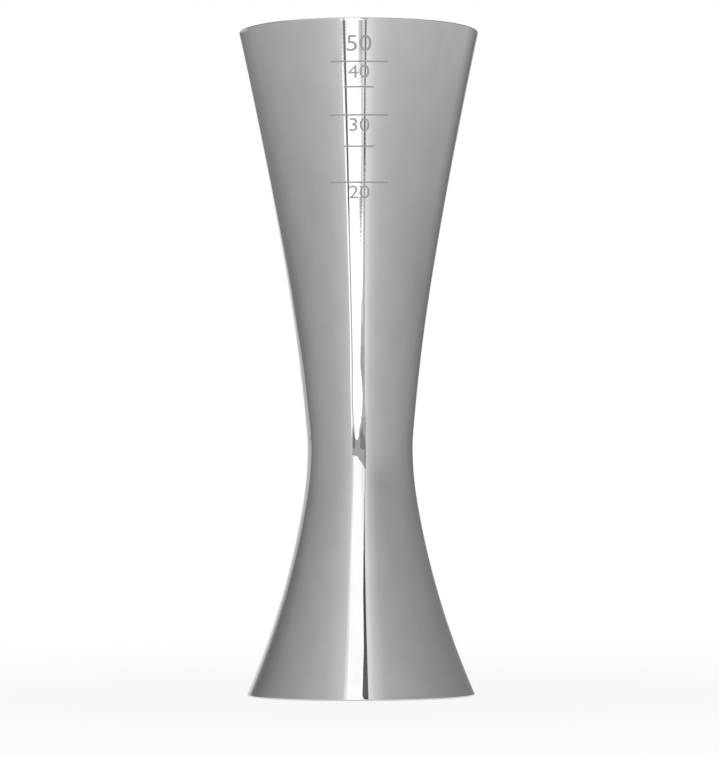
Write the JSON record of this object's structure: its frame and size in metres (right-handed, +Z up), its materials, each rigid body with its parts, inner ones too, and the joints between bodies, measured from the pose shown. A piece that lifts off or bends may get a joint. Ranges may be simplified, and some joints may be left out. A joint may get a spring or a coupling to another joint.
{
  "type": "bar jigger",
  "caption": "Double-ended spirit measure: a tall tapered cup and a shorter bell-shaped cup, welded floor to floor at a slim waist.",
  "frame": {"origin": "centre of the lower cup's rim plane, which is the foot that the jigger stands on", "axes": "+Z up along the common axis of both cups, from the lower rim to the upper rim; the part is a body of revolution, so X and Y are free"},
  "size_m": [0.0436, 0.0436, 0.121],
  "materials": {
    "polished_steel": "mirror-polished stainless steel",
    "weld_steel": "stainless weld metal, ground flush and polished",
    "etched_mark": "frosted etching on polished steel"
  },
  "bodies": {
    "root": {"upper_cup": "polished_steel", "lower_cup": "polished_steel", "waist_weld": "weld_steel"}
  },
  "joints": []
}
